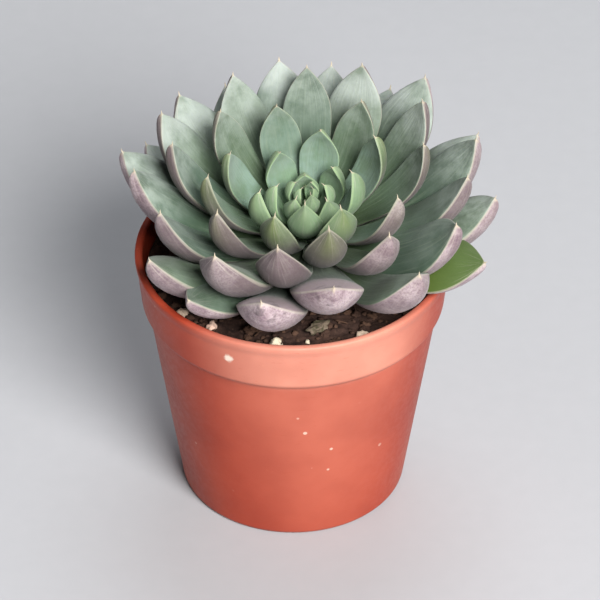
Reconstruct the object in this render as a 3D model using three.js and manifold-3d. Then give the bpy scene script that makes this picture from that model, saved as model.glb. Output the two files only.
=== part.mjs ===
import * as THREE from "three";
import { mergeVertices } from "three/addons/utils/BufferGeometryUtils.js";
import Module from "manifold-3d";

// A potted echeveria: a rosette of thick pointed leaves on a short stem, in a small pot of peat mix.
// Millimetres, +Z up. The origin is the centre of the pot's base, on the surface it stands on.

// Pot: a rolled lip, an upper band with a step under it, and a tapered body
const POT_HEIGHT = 48;
const LIP_RADIUS = 27.5;
const LIP_HEIGHT = 1.6;
const LIP_PROUD = 0.35;
const LIP_ROUNDING = 0.4;
const BAND_HEIGHT = 9.5;
const BAND_DRAFT = 0.8;
const STEP_DEPTH = 1;
const STEP_HEIGHT = 0.8;
const BASE_RADIUS = 19.5;
const WALL = 1;
const FLOOR = 1.2;
const FOOT_HEIGHT = 1.2;
const FOOT_WIDTH = 3;
const FOOT_ROUNDING = 0.5;
const PAD_RADIUS = 5;
const POT_SIDES = 60;
const DRAIN_COUNT = 6;
const DRAIN_RADIUS = 2;
const DRAIN_CIRCLE = 10.5;
const DRAIN_SIDES = 12;

// Soil: level with a crumbled top, and pale grains on it
const GAP = 0.3;
const SOIL_BELOW_RIM = 4.2;
const CRUMB_RELIEF = 0.5;
const BROAD_SHARE = 0.6;
const SOIL_RINGS = 8;
const SOIL_SIDES = 48;
const GRAIN_COUNT = 12;
const GRAIN_SEED = 55694;
const GRAIN_RADIUS = 1;
const GRAIN_INSET = 2.6;
const GRAIN_BAND = 3.2;
const GRAIN_RISE = 0.2;
const GRAIN_SPREAD = 0.25;
const GRAIN_ASIDE = 0.2;
const GRAIN_FORM = [1.2, 1, 0.8];

// Stem: a short neck on a root stock that narrows into the soil
const STEM_RADIUS = 3.4;
const STOCK_RADIUS = 4.2;
const STEM_TOP_BELOW_RIM = 3.5;
const STOCK_DEPTH = 16;
const NECK_LENGTH = 1;
const SOCKET_RISE = 3;
const STEM_SIDES = 16;

// Rosette: its leaves follow the golden angle, from the youngest in the centre to the oldest outside
const YOUNGEST = -9;
const OLDEST = 53;
const FULL_AGE = 61;
const FALLEN = [29, 48, 50, 52];
const GOLDEN_ANGLE = THREE.MathUtils.degToRad(137.508);
const FIRST_AZIMUTH = THREE.MathUtils.degToRad(319.2);
const ROSETTE_X = 2.5;
const ROSETTE_Y = 1.9;
const ROSETTE_LEAN = THREE.MathUtils.degToRad(4);
const LONGEST_LEAF = 36.2;
const LENGTH_GROWTH = 20.8;
const LENGTH_POWER = 1.42;
const FIRST_GROWTH = 9.5;
const OLD_LEAF_SHRINK = 0.35;
const OLD_LEAF_FROM = 28;
const INNER_WIDTH = 7.8;
const OUTER_WIDTH = 12;
const WIDTH_GROWTH = 8;
const WIDTH_POWER = 1.1;
const BROADER_FROM = 14;
const BROADER_TO = 38;
const LEAST_THICKNESS = 0.5;
const THICKNESS_RATIO = 0.29;
const INNER_ANGLE = 84.5;
const OUTER_ANGLE = 19;
const ANGLE_POWER = 0.41;
const BUD_FROM = 3;
const BUD_STEP = 1.4;
const BUD_RISE = 0.65;
const BUD_SHORTER = 0.07;
const BUD_TAPER = 0.1;
const INNER_CURL = 50;
const OUTER_CURL = 40;
const CURL_FROM = 26;
const CURL_TO = 42;
const STRAIGHT_PART = 0.4;
const CORE_RADIUS = 4.6;
const CORE_TOP = 4.5;
const CORE_BOTTOM = -2.8;
const SHOOT_RADIUS = 0.8;
const SHOOT_TOP = 9.8;
const ROOT_RADIUS = 3.3;
const INNER_ROOT = 0.3;
const ROOT_TOP = 3.5;
const ROOT_BOTTOM = -1.2;
const ROOT_POWER = 0.62;
const LIP_CLEARANCE = 0.5;
const LIFT_STEP = 0.5;
const ROOT_ZONE = 8.5;
const FIRST_CHECK = 0.1;
const CHECK_STEP = 0.05;
const LEAF_SEED = 7;

// Leaves that handling has pushed aside: degrees round the plant, upwards, less of curl, and of roll
const PUSHED = {
  5: [1, 5, 0],
  9: [2, -3, 0],
  10: [-2, 4, 0],
  12: [3, 0, 0],
  13: [-4, -3, 0],
  15: [2, -2, 0],
  18: [5, 0, 0],
  21: [-6, -3, 0],
  23: [-4, 3, 0],
  25: [-4, -3, 0],
  26: [6, -3, 8],
  27: [0, -3, 0],
  30: [-2, -3, 0],
  31: [-6, -2, 0],
  34: [4, 1, 0, 28],
  35: [-3, 0, 0],
  37: [8, 1, 14],
  38: [0, -3, 0],
  39: [-2, -4, 0],
  40: [-5, -8, -6, 5],
  41: [3, -5, 0],
  42: [1, 0, -12],
  43: [-3, -4, 0],
  44: [0, -7, 0],
  45: [4, 0, -6],
  46: [0, -7, 0],
  47: [-3, -12, 26, 20],
  49: [2, -9, 0],
  51: [2, -6, 0],
  53: [0, -4, 10, -6],
};

// One leaf: stations along it, from its root to the foot of its point, and the form of its outline
// and of its section
const STATIONS = [0, 0.25, 0.48, 0.66, 0.8, 0.9, 0.965];
const ROOT_WIDTH = 0.38;
const ROOT_TAPER = 1.8;
const WIDEST_AT = 0.7;
const YOUNG_TIP_POWER = 1.4;
const TIP_POWER = 2.1;
const BLUNTER_FROM = 0;
const BLUNTER_TO = 14;
const FULLEST_AT = 0.68;
const ROOT_FULLNESS = 0.36;
const ROOT_SWELL = 1.5;
const TIP_FULLNESS_END = 1.02;
const SHOULDER = { across: 0.68, depth: 0.6 };
const BROW = { across: 0.5, height: 0.75 };
const YOUNG_HOLLOW = 0.1;
const OLD_CROWN = 0.36;
const CROWN_FROM = 14;
const CROWN_TO = 40;
const POINT_LENGTH = 0.8;
const POINT_RISE = 0.3;

// How far single leaves stray from the rule: radians, degrees, and shares of length and width
const STRAY = { azimuth: 0.03, angle: 1.2, length: 0.03, width: 0.05, roll: 0.07 };

const COLOURS = { pot: 0xc9673f, soil: 0x3a2a22, stem: 0x6d5743, rosette: 0x7f9c86 };
const ROUGHNESS = { pot: 0.45, soil: 1, stem: 0.9, rosette: 0.6 };

const wasm = await Module();
wasm.setup();

// A closed geometry as a solid that can be joined and cut
function solidFrom(geometry) {
  const bare = new THREE.BufferGeometry();
  bare.setAttribute("position", geometry.getAttribute("position"));
  if (geometry.index) bare.setIndex(geometry.index);
  const merged = mergeVertices(bare, 1e-4);
  return new wasm.Manifold(
    new wasm.Mesh({
      numProp: 3,
      vertProperties: merged.getAttribute("position").array,
      triVerts: new Uint32Array(merged.index.array),
    }),
  );
}

function meshed(places, faces) {
  const geometry = new THREE.BufferGeometry();
  geometry.setAttribute("position", new THREE.Float32BufferAttribute(places, 3));
  geometry.setIndex(faces);
  return geometry;
}

// The surface of a solid as a geometry
function geometryFrom(solid) {
  const { numProp, numVert, vertProperties, triVerts } = solid.getMesh();
  const places = new Float32Array(numVert * 3);
  for (let i = 0; i < numVert; i++) {
    places.set(vertProperties.subarray(i * numProp, i * numProp + 3), i * 3);
  }
  const geometry = new THREE.BufferGeometry();
  geometry.setAttribute("position", new THREE.BufferAttribute(places, 3));
  geometry.setIndex(new THREE.BufferAttribute(triVerts, 1));
  geometry.computeVertexNormals();
  return geometry;
}

// A profile of [radius, height] points turned about the Z axis.
function turned(profile, sides) {
  const points = profile.map(([radius, height]) => new THREE.Vector2(radius, height));
  return new THREE.LatheGeometry(points, sides).rotateX(Math.PI / 2);
}

function named(name, geometry) {
  const finish = { color: COLOURS[name], roughness: ROUGHNESS[name], metalness: 0 };
  const material = new THREE.MeshStandardMaterial(finish);
  const mesh = new THREE.Mesh(geometry, material);
  mesh.name = name;
  return mesh;
}

// Repeatable draws between -1 and 1
function drawsFrom(seed) {
  const modulus = 2147483647;
  let state = seed;
  return () => {
    state = (state * 16807) % modulus;
    return (2 * state) / modulus - 1;
  };
}

// Heights and radii that the pot and the soil share
const bandFoot = POT_HEIGHT - BAND_HEIGHT;
const ledge = bandFoot - STEP_HEIGHT;
const bandTopRadius = LIP_RADIUS - LIP_PROUD;
const bandFootRadius = bandTopRadius - BAND_DRAFT;
const bodyTopRadius = bandFootRadius - STEP_DEPTH;
const soilTop = POT_HEIGHT - SOIL_BELOW_RIM;
const floorTop = FOOT_HEIGHT + FLOOR;
const rosetteSeat = new THREE.Vector3(ROSETTE_X, ROSETTE_Y, POT_HEIGHT);

function insideRadius(height) {
  const atBand = height >= bandFoot;
  const low = atBand ? [bandFoot, bandFootRadius] : [0, BASE_RADIUS];
  const high = atBand ? [POT_HEIGHT, bandTopRadius] : [bandFoot, bodyTopRadius];
  const along = (height - low[0]) / (high[0] - low[0]);
  return low[1] + (high[1] - low[1]) * along - WALL;
}

function potGeometry() {
  const lipFoot = POT_HEIGHT - LIP_HEIGHT;
  const footInner = BASE_RADIUS - FOOT_WIDTH;
  const profile = [
    [0, 0],
    [PAD_RADIUS, 0],
    [PAD_RADIUS + FOOT_HEIGHT / 2, FOOT_HEIGHT],
    [footInner - FOOT_HEIGHT / 2, FOOT_HEIGHT],
    [footInner, 0],
    [BASE_RADIUS - FOOT_ROUNDING, 0],
    [BASE_RADIUS, FOOT_ROUNDING],
    [bodyTopRadius, ledge],
    [bandFootRadius, bandFoot],
    [bandTopRadius, lipFoot],
    [LIP_RADIUS, lipFoot + LIP_PROUD],
    [LIP_RADIUS, POT_HEIGHT - LIP_ROUNDING],
    [LIP_RADIUS - LIP_ROUNDING, POT_HEIGHT],
    [insideRadius(POT_HEIGHT) + LIP_ROUNDING, POT_HEIGHT],
    [insideRadius(POT_HEIGHT), POT_HEIGHT - LIP_ROUNDING],
    [insideRadius(bandFoot), bandFoot],
    [insideRadius(ledge), ledge],
    [insideRadius(floorTop), floorTop],
    [0, floorTop],
  ];
  let pot = solidFrom(turned(profile, POT_SIDES));
  for (let i = 0; i < DRAIN_COUNT; i++) {
    const azimuth = (i * 2 * Math.PI) / DRAIN_COUNT;
    const hole = new THREE.CylinderGeometry(DRAIN_RADIUS, DRAIN_RADIUS, 3 * floorTop, DRAIN_SIDES);
    hole.rotateX(Math.PI / 2);
    hole.translate(DRAIN_CIRCLE * Math.cos(azimuth), DRAIN_CIRCLE * Math.sin(azimuth), 0);
    pot = pot.subtract(solidFrom(hole));
  }
  return geometryFrom(pot);
}

// The stem leans with the rosette. Its socket in the soil is wider by the clearance and open above.
function stemSolid(clearance) {
  const top = POT_HEIGHT - STEM_TOP_BELOW_RIM;
  const rise = clearance > 0 ? SOCKET_RISE : 0;
  const profile = [
    [0, -STOCK_DEPTH - clearance],
    [STOCK_RADIUS / 3 + clearance, -STOCK_DEPTH - clearance],
    [STOCK_RADIUS + clearance, -STOCK_DEPTH / 3],
    [STEM_RADIUS + clearance, -NECK_LENGTH],
    [STEM_RADIUS + clearance, rise],
    [0, rise],
  ];
  const stem = turned(profile, STEM_SIDES);
  stem.rotateX(ROSETTE_LEAN);
  stem.translate(ROSETTE_X, ROSETTE_Y, top);
  return solidFrom(stem);
}

// Crumbled relief as a sum of broad and narrow crossed waves, which run aslant so that none repeats
function crumbs(x, y) {
  const broad = Math.sin(0.9 * x + 1.3) * Math.cos(1.1 * y - 0.4);
  const narrow = Math.sin(2.3 * x - 1.7 * y) * Math.cos(1.9 * x + 2.6 * y);
  return CRUMB_RELIEF * (BROAD_SHARE * broad + (1 - BROAD_SHARE) * narrow);
}

function soilSolid() {
  const rows = [];
  const topRadius = insideRadius(soilTop) - GAP;
  for (let i = 1; i <= SOIL_RINGS; i++) {
    rows.push({ radius: (topRadius * i) / SOIL_RINGS, height: soilTop, relief: 1 });
  }
  for (const height of [bandFoot, ledge, floorTop + GAP]) {
    rows.push({ radius: insideRadius(height) - GAP, height, relief: 0 });
  }
  const places = [0, 0, soilTop];
  const faces = [];
  for (const { radius, height, relief } of rows) {
    for (let side = 0; side < SOIL_SIDES; side++) {
      const azimuth = (side * 2 * Math.PI) / SOIL_SIDES;
      const x = radius * Math.cos(azimuth);
      const y = radius * Math.sin(azimuth);
      places.push(x, y, height + relief * crumbs(x, y));
    }
  }
  places.push(0, 0, floorTop + GAP);
  const at = (row, side) => 1 + row * SOIL_SIDES + (side % SOIL_SIDES);
  const last = places.length / 3 - 1;
  for (let side = 0; side < SOIL_SIDES; side++) {
    faces.push(0, at(0, side), at(0, side + 1));
    for (let row = 0; row < rows.length - 1; row++) {
      faces.push(at(row, side), at(row + 1, side), at(row + 1, side + 1));
      faces.push(at(row, side), at(row + 1, side + 1), at(row, side + 1));
    }
    faces.push(last, at(rows.length - 1, side + 1), at(rows.length - 1, side));
  }
  return solidFrom(meshed(places, faces));
}

// Pale grains lie half sunk in the soil, in a band along the pot's wall.
function grains() {
  const draw = drawsFrom(GRAIN_SEED);
  const list = [];
  for (let i = 0; i < GRAIN_COUNT; i++) {
    const azimuth = (i * 2 * Math.PI) / GRAIN_COUNT + GRAIN_ASIDE * draw();
    const radius = insideRadius(soilTop) - GRAIN_INSET - (GRAIN_BAND * (1 + draw())) / 2;
    const grain = new THREE.IcosahedronGeometry(GRAIN_RADIUS * (1 + GRAIN_SPREAD * draw()), 0);
    grain.scale(...GRAIN_FORM);
    grain.rotateZ(Math.PI * draw());
    grain.translate(radius * Math.cos(azimuth), radius * Math.sin(azimuth), soilTop + GRAIN_RISE);
    list.push(solidFrom(grain));
  }
  return list;
}

function soilGeometry() {
  const filled = grains().reduce((soil, grain) => soil.add(grain), soilSolid());
  return geometryFrom(filled.subtract(stemSolid(GAP)));
}

// Half width of a leaf along it, as a share of its greatest
function outline(along, tipPower) {
  if (along < WIDEST_AT) {
    const rise = Math.sin((Math.PI / 2) * (along / WIDEST_AT));
    return ROOT_WIDTH + (1 - ROOT_WIDTH) * rise ** ROOT_TAPER;
  }
  return 1 - ((along - WIDEST_AT) / (1 - WIDEST_AT)) ** tipPower;
}

// Thickness of a leaf along it, as a share of its greatest
function fullness(along) {
  if (along < FULLEST_AT) return ROOT_FULLNESS + (1 - ROOT_FULLNESS) * (along / FULLEST_AT) ** ROOT_SWELL;
  return Math.sqrt(Math.max(0, 1 - ((along - FULLEST_AT) / (TIP_FULLNESS_END - FULLEST_AT)) ** 2));
}

// Share of its full size that leaf number n has reached; n counts from the centre outwards.
function grown(n, pace, power) {
  return 1 - Math.exp(-(((n + FIRST_GROWTH) / pace) ** power));
}

// Degrees above level of leaf number n; the bud's leaves stand up more and more towards its middle.
function raised(n) {
  const age = Math.max(n, BUD_FROM) / FULL_AGE;
  const inBud = Math.max(0, BUD_FROM - n);
  return INNER_ANGLE - (INNER_ANGLE - OUTER_ANGLE) * age ** ANGLE_POWER + BUD_STEP * inBud;
}

// Where leaf number n grows and how it is bent
function leafAt(n, draw) {
  const age = Math.max(0, n) / FULL_AGE;
  const old = Math.max(0, (n - OLD_LEAF_FROM) / (FULL_AGE - OLD_LEAF_FROM));
  const shrunk = 1 - OLD_LEAF_SHRINK * old ** 3;
  const unopened = Math.max(0, -n);
  const grownLength = grown(Math.max(0, n), LENGTH_GROWTH, LENGTH_POWER) * (1 - BUD_SHORTER * unopened);
  const length = LONGEST_LEAF * shrunk * grownLength;
  const broader = (OUTER_WIDTH - INNER_WIDTH) * THREE.MathUtils.smoothstep(n, BROADER_FROM, BROADER_TO);
  const width = shrunk * (INNER_WIDTH * grown(n, WIDTH_GROWTH, WIDTH_POWER) + broader);
  const [aside = 0, upwards = 0, uncurled = 0, rolled = 0] = PUSHED[n] ?? [];
  const azimuth = FIRST_AZIMUTH - n * GOLDEN_ANGLE + THREE.MathUtils.degToRad(aside);
  const blunter = THREE.MathUtils.smoothstep(n, BLUNTER_FROM, BLUNTER_TO);
  const fuller = THREE.MathUtils.smoothstep(n, CROWN_FROM, CROWN_TO);
  const straightened = (INNER_CURL - OUTER_CURL) * THREE.MathUtils.smoothstep(n, CURL_FROM, CURL_TO);
  return {
    azimuth: azimuth + STRAY.azimuth * draw(),
    angle: raised(n) + upwards + STRAY.angle * draw(),
    curl: INNER_CURL - straightened - uncurled,
    length: length * (1 + STRAY.length * draw()),
    width: width * (1 + STRAY.width * draw()),
    roll: THREE.MathUtils.degToRad(rolled) + STRAY.roll * draw(),
    tipPower: YOUNG_TIP_POWER + (TIP_POWER - YOUNG_TIP_POWER) * blunter,
    crown: (YOUNG_HOLLOW + OLD_CROWN) * fuller - YOUNG_HOLLOW,
    rootRadius: ROOT_RADIUS * (INNER_ROOT * (1 - BUD_TAPER * unopened) + (1 - INNER_ROOT) * age),
    rootHeight: ROOT_TOP + (ROOT_BOTTOM - ROOT_TOP) * age ** ROOT_POWER + BUD_RISE * unopened,
  };
}

// The leaf's midline runs straight from its root and then bends up in an arc.
function midline(leaf, along) {
  const turn = THREE.MathUtils.degToRad(leaf.curl);
  const start = THREE.MathUtils.degToRad(leaf.angle) - (turn * (1 - STRAIGHT_PART)) / 2;
  const straight = leaf.length * Math.min(along, STRAIGHT_PART);
  const bend = (leaf.length * (1 - STRAIGHT_PART)) / turn;
  const slope = start + (turn * Math.max(0, along - STRAIGHT_PART)) / (1 - STRAIGHT_PART);
  return {
    radius: leaf.rootRadius + straight * Math.cos(start) + bend * (Math.sin(slope) - Math.sin(start)),
    height: leaf.rootHeight + straight * Math.sin(start) - bend * (Math.cos(slope) - Math.cos(start)),
    slope,
  };
}

// A ring of points round the leaf: its two margins, its keeled underside and its face, which is
// hollowed on young leaves and crowned on old ones.
function leafRing(leaf, along) {
  const half = (leaf.width / 2) * outline(along, leaf.tipPower);
  const thick = (LEAST_THICKNESS + leaf.width * THICKNESS_RATIO) * fullness(along);
  const crown = leaf.crown * half * fullness(along);
  return [
    [-half, 0],
    [-SHOULDER.across * half, -SHOULDER.depth * thick],
    [0, -thick],
    [SHOULDER.across * half, -SHOULDER.depth * thick],
    [half, 0],
    [BROW.across * half, BROW.height * crown],
    [0, crown],
    [-BROW.across * half, BROW.height * crown],
  ];
}

// The rosette leans towards the front and stands off the pot's axis.
function inPot(place) {
  return place.applyAxisAngle(new THREE.Vector3(1, 0, 0), ROSETTE_LEAN).add(rosetteSeat);
}

// A leaf is clear when nothing of it is in the lip, the wall or the soil.
function isClear(leaf) {
  const inner = insideRadius(POT_HEIGHT) - LIP_CLEARANCE;
  const soil = soilTop + CRUMB_RELIEF + GAP;
  for (let along = FIRST_CHECK; along < 1; along += CHECK_STEP) {
    const frame = leafFrame(leaf, along);
    for (const spot of leafRing(leaf, along)) {
      const place = inPot(onLeaf(frame, spot));
      const radius = Math.hypot(place.x, place.y);
      const lowest = radius > inner ? POT_HEIGHT + LIP_CLEARANCE : soil;
      if (radius > ROOT_ZONE && place.z < lowest) return false;
    }
  }
  return true;
}

// A low leaf is held up by the lip or the soil under it.
function settled(leaf) {
  while (!isClear(leaf)) leaf.angle += LIFT_STEP;
  return leaf;
}

function leafFrame(leaf, along) {
  const outward = new THREE.Vector3(Math.cos(leaf.azimuth), Math.sin(leaf.azimuth), 0);
  const up = new THREE.Vector3(0, 0, 1);
  const { radius, height, slope } = midline(leaf, along);
  const tangent = outward.clone().multiplyScalar(Math.cos(slope)).addScaledVector(up, Math.sin(slope));
  const side = new THREE.Vector3().crossVectors(up, outward).applyAxisAngle(tangent, leaf.roll);
  const face = new THREE.Vector3().crossVectors(tangent, side);
  const middle = outward.clone().multiplyScalar(radius).addScaledVector(up, height);
  return { middle, tangent, side, face };
}

// A spot of a ring, given across and above the midline, in the rosette's own frame
function onLeaf({ middle, side, face }, [across, above]) {
  return middle.clone().addScaledVector(side, across).addScaledVector(face, above);
}

function leafSolid(leaf) {
  const places = [];
  const faces = [];
  const addRing = (ring, frame) => ring.forEach((spot) => places.push(...onLeaf(frame, spot)));
  STATIONS.forEach((along) => addRing(leafRing(leaf, along), leafFrame(leaf, along)));
  const tip = leafFrame(leaf, 1);
  const point = tip.middle.addScaledVector(tip.tangent, POINT_LENGTH);
  places.push(...point.addScaledVector(tip.face, POINT_RISE));

  const sides = leafRing(leaf, 0).length;
  const rings = STATIONS.length;
  const at = (ring, i) => ring * sides + (i % sides);
  for (let i = 1; i < sides - 1; i++) faces.push(0, i + 1, i);
  for (let ring = 0; ring < rings - 1; ring++) {
    for (let i = 0; i < sides; i++) {
      faces.push(at(ring, i), at(ring, i + 1), at(ring + 1, i + 1));
      faces.push(at(ring, i), at(ring + 1, i + 1), at(ring + 1, i));
    }
  }
  for (let i = 0; i < sides; i++) faces.push(at(rings - 1, i), at(rings - 1, i + 1), rings * sides);
  return solidFrom(meshed(places, faces));
}

// The leaves' roots are sunk in a short core, which narrows to the shoot in the middle of the bud.
function rosetteGeometry() {
  const draw = drawsFrom(LEAF_SEED);
  const core = [
    [0, CORE_BOTTOM],
    [STEM_RADIUS, CORE_BOTTOM],
    [CORE_RADIUS, (CORE_BOTTOM + CORE_TOP) / 2],
    [2 * SHOOT_RADIUS, CORE_TOP],
    [SHOOT_RADIUS, SHOOT_TOP],
    [0, SHOOT_TOP],
  ];
  let rosette = solidFrom(turned(core, STEM_SIDES));
  for (let n = YOUNGEST; n <= OLDEST; n++) {
    const leaf = leafAt(n, draw);
    if (!FALLEN.includes(n)) rosette = rosette.add(leafSolid(settled(leaf)));
  }
  return geometryFrom(rosette).rotateX(ROSETTE_LEAN).translate(...rosetteSeat);
}

const plant = new THREE.Group();
plant.add(
  named("pot", potGeometry()),
  named("soil", soilGeometry()),
  named("stem", geometryFrom(stemSolid(0))),
  named("rosette", rosetteGeometry()),
);

export default plant;
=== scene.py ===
import math
from types import SimpleNamespace

import bpy
import numpy as np
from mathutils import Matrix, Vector, noise


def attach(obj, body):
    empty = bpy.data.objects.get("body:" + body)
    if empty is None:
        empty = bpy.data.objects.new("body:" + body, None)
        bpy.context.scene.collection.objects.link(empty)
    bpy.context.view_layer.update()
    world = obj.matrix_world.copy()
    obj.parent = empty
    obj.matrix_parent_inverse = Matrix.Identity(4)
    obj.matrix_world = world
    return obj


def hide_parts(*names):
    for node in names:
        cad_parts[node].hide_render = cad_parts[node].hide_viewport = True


# A potted echeveria. Lengths in the rules below are in millimetres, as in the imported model,
# and every mesh is scaled to metres when it is made.
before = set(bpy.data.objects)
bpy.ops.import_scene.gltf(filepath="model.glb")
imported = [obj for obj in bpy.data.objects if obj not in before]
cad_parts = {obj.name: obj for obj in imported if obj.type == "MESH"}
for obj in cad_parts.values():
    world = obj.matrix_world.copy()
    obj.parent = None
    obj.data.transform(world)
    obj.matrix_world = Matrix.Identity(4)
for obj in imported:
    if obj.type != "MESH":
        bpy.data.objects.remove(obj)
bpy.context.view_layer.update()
MM = 0.001

# Pot: the lip swells out of the band over twice LIP_SLOPE
POT_HEIGHT = 48.0
LIP_RADIUS = 27.5
LIP_HEIGHT = 1.6
LIP_PROUD = 0.35
LIP_SLOPE = 0.6
BAND_HEIGHT = 9.5
BAND_DRAFT = 0.8
STEP_DEPTH = 1.0
STEP_HEIGHT = 0.8
BASE_RADIUS = 19.5
WALL = 1.0
FLOOR = 1.2
FOOT_HEIGHT = 1.2
FOOT_WIDTH = 3.0
PAD_RADIUS = 5.0
DRAIN_COUNT = 6
DRAIN_RADIUS = 2.0
DRAIN_CIRCLE = 10.5
DRAIN_OVERCUT = 1.0
DRAIN_SIDES = 40
POT_SIDES = 192
SHARP_ANGLE = math.radians(40)

# How far each corner of the pot's profile is rounded
FOOT_ROUND = 0.25
BASE_ROUND = 0.9
STEP_ROUND = 0.6
LIP_FOOT_ROUND = 0.5
LIP_ROUND = 0.55
INNER_ROUND = 0.2
FLOOR_ROUND = 0.8

# A pale speck on the band, in metres as the materials read it
SPECK = (-0.0111, -0.0247, 0.0436)

# Soil
GAP = 0.3
SOIL_BELOW_RIM = 4.2
CRUMB_RELIEF = 0.5
COARSE_SHARE = 0.6
RELIEF_KEPT = 0.7
LUMP_RELIEF = 0.35
GRIT_RELIEF = 0.22
EDGE_FADE = 1.5
EDGE_RELIEF = 0.3
SOIL_RINGS = 84
SOIL_SIDES = 260

# Loose crumbs, fibres, grains and a leaf on the soil
CRUMB_SEED = 91
CRUMB_COUNT = 620
CRUMB_INSET = 0.5
CRUMB_OVERHANG = 0.4
CRUMB_LEAST = 0.32
CRUMB_RANGE = 0.55
FINE_CRUMB_FROM = 0.6
CRUMB_ROUGHNESS = 0.7
FIBRE_COUNT = 70
FIBRE_INSET = 1.6
FIBRE_LENGTH = 1.1
FIBRE_WIDTH = 0.17
FIBRE_THICKNESS = 0.14
FIBRE_ROUGHNESS = 0.5
GRAIN_COUNT = 12
GRAIN_SEED = 55694
GRAIN_RADIUS = 1.0
GRAIN_INSET = 2.6
GRAIN_BAND = 3.2
GRAIN_RISE = 0.35
GRAIN_ROUGHNESS = 0.6
SMALL_GRAIN_SEED = 57
SMALL_GRAIN_COUNT = 46
SMALL_GRAIN_RADIUS = 0.28
SMALL_GRAIN_INSET = 1.2
DRY_LEAF_PLACE = (4.4, -17.2)
DRY_LEAF_SIZE = (2.0, 1.1, 0.9)
DRY_LEAF_RISE = 0.9
DRY_LEAF_TURN = 0.6
DRY_LEAF_ROUGHNESS = 0.5

# Stem
STEM_RADIUS = 3.4
STOCK_RADIUS = 4.2
STEM_TOP_BELOW_RIM = 3.5
NECK_LENGTH = 1.0
STOCK_DEPTH = 16.0
SCAR_DEPTH = 0.12
STEM_RINGS = 40
STEM_SIDES = 48

# Rosette: leaves are numbered from the middle outwards
YOUNGEST = -9
OLDEST = 53
FULL_AGE = 61
FALLEN = (29, 48, 50, 52)
LEAF_SEED = 7
GOLDEN_ANGLE = math.radians(137.508)
FIRST_AZIMUTH = math.radians(319.2)
ROSETTE_X = 2.5
ROSETTE_Y = 1.9
ROSETTE_LEAN = math.radians(4)
LONGEST_LEAF = 36.2
LENGTH_GROWTH = 20.8
LENGTH_POWER = 1.42
FIRST_GROWTH = 9.5
OLD_LEAF_SHRINK = 0.35
OLD_LEAF_FROM = 28
INNER_WIDTH = 7.8
OUTER_WIDTH = 12
WIDTH_GROWTH = 8
WIDTH_POWER = 1.1
BROADER_FROM = 14
BROADER_TO = 38
LEAST_THICKNESS = 0.5
THICKNESS_RATIO = 0.29
INNER_ANGLE = 84.5
OUTER_ANGLE = 19
ANGLE_POWER = 0.41
BUD_FROM = 3
BUD_STEP = 1.4
BUD_RISE = 0.65
BUD_SHORTER = 0.07
BUD_TAPER = 0.1
INNER_CURL = 50
OUTER_CURL = 40
CURL_FROM = 26
CURL_TO = 42
STRAIGHT_PART = 0.4
CORE_RADIUS = 4.6
CORE_TOP = 4.5
CORE_BOTTOM = -2.8
SHOOT_RADIUS = 0.8
SHOOT_TOP = 9.8
ROOT_RADIUS = 3.3
INNER_ROOT = 0.3
ROOT_TOP = 3.5
ROOT_BOTTOM = -1.2
ROOT_POWER = 0.62
CORE_SIDES = 64
LIP_CLEARANCE = 0.5
LIFT_STEP = 0.5
ROOT_ZONE = 8.5
FIRST_CHECK = 0.1
CHECK_STEP = 0.05

# Leaves that stand apart from the rule: degrees aside, upwards, less curled and rolled
PUSHED = {
    5: (1, 5, 0),
    9: (2, -3, 0),
    10: (-2, 4, 0),
    12: (3, 0, 0),
    13: (-4, -3, 0),
    15: (2, -2, 0),
    18: (5, 0, 0),
    21: (-6, -3, 0),
    23: (-4, 3, 0),
    25: (-4, -3, 0),
    26: (6, -3, 8),
    27: (0, -3, 0),
    30: (-2, -3, 0),
    31: (-6, -2, 0),
    34: (4, 1, 0, 28),
    35: (-3, 0, 0),
    37: (8, 1, 14),
    38: (0, -3, 0),
    39: (-2, -4, 0),
    40: (-5, -8, -6, 5),
    41: (3, -5, 0),
    42: (1, 0, -12),
    43: (-3, -4, 0),
    44: (0, -7, 0),
    45: (4, 0, -6),
    46: (0, -7, 0),
    47: (-3, -12, 26, 20),
    49: (2, -9, 0),
    51: (2, -6, 0),
    53: (0, -4, 10, -6),
}

# How far every leaf may stray: its azimuth and roll in radians, its angle in degrees, and shares
STRAY = {"azimuth": 0.03, "angle": 1.2, "length": 0.03, "width": 0.05, "roll": 0.07}

# Leaves coloured apart: one still green, some lilac in the sun and with less painted shade, and the
# oldest in front flushed
FRESH_LEAF = 47
SUNNY_LEAVES = {13: 0.8, 21: 1.0, 24: 0.1}
FLUSHED_FROM = 30
FLUSHED_TO = 34
FLUSHED_FRONT = (0.8, 0.97)

# What every point of the rosette carries for its material
LEAF_VALUES = ("along", "across", "under", "rim", "age", "tone", "fresh", "flush", "sunny")

# One leaf
ROOT_WIDTH = 0.38
WIDEST_AT = 0.7
YOUNG_TIP_POWER = 1.4
TIP_POWER = 2.1
BLUNTER_FROM = 0
BLUNTER_TO = 14
FULLEST_AT = 0.68
ROOT_FULLNESS = 0.36
ROOT_TAPER = 1.8
ROOT_SWELL = 1.5
TIP_FULLNESS_END = 1.02
SHOULDER = (0.68, 0.6)
YOUNG_HOLLOW = 0.1
OLD_CROWN = 0.36
CROWN_FROM = 14
CROWN_TO = 40
KEEL = 1.4
KEEL_GROWTH = 0.25
EDGE_ROUND = 0.2
LEAF_WAVE = 0.22
EDGE_WAVE = 0.03
POINT_LENGTH = 0.8
POINT_RISE = 0.3
POINT_RADIUS = 0.34
POINT_REACH = 1.5
POINT_TAPER = 0.75
POINT_BLEND = 2.5
FULL_POINT_WIDTH = 9
LEAF_RINGS = 24
LEAF_SIDES = 32
BODY_END = 0.955
RING_SPACING = 0.85
RINGS_BEFORE_TIP = (1.0, 0.7, 0.45, 0.25, 0.1, 0.0)
RINGS_ON_POINT = (0.25, 0.5, 0.75, 0.92)

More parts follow.
